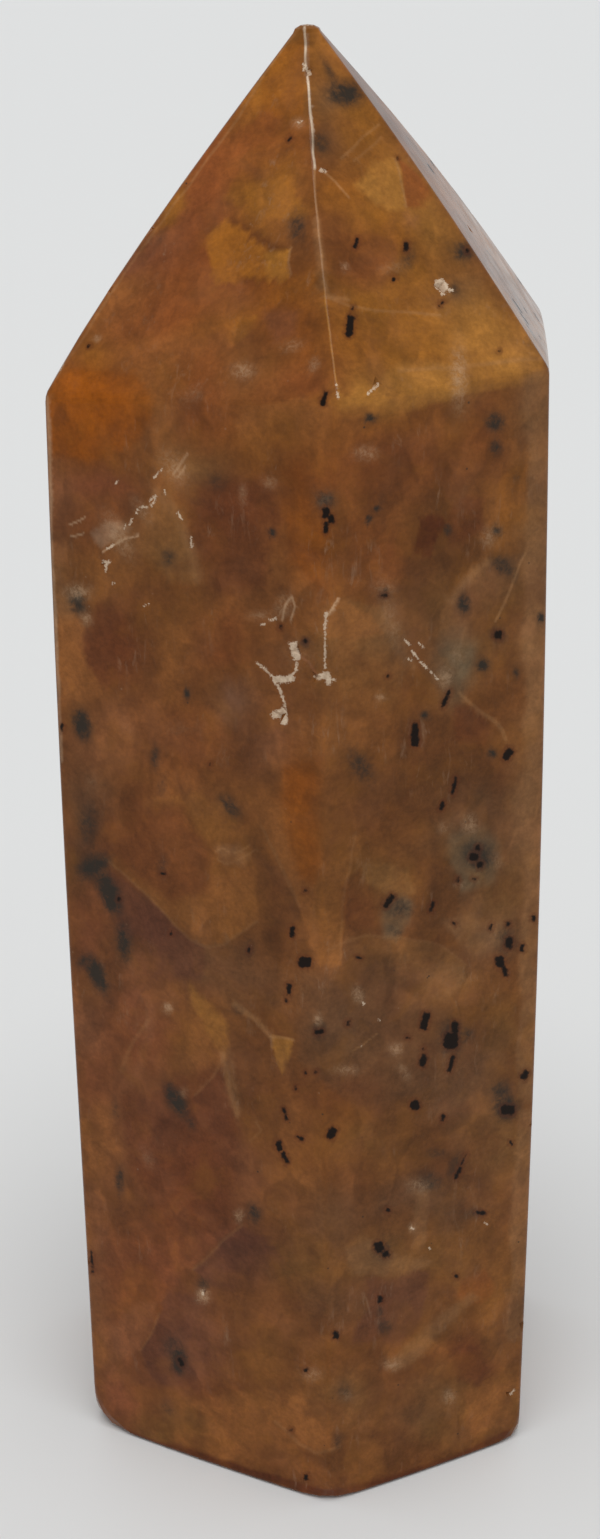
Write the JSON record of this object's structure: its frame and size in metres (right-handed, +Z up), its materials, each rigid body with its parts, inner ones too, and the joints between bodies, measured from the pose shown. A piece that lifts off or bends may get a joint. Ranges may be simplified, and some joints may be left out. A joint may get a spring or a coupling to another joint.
{
  "type": "polished calcite point",
  "caption": "Hand-cut and polished six-sided point of brown and orange calcite, flat at the base so that it stands upright as a tower.",
  "frame": {"origin": "centre of the flat base, at the middle of the stone's outline seen from above", "axes": "+Z up along the point, -Y towards the upright edge that faces the viewer, +X to the viewer's right"},
  "size_m": [0.0331, 0.0354, 0.1002],
  "materials": {
    "calcite": "polished stone, translucent brown and orange with dark flecks"
  },
  "bodies": {
    "root": {"calcite_point": "calcite"}
  },
  "joints": []
}
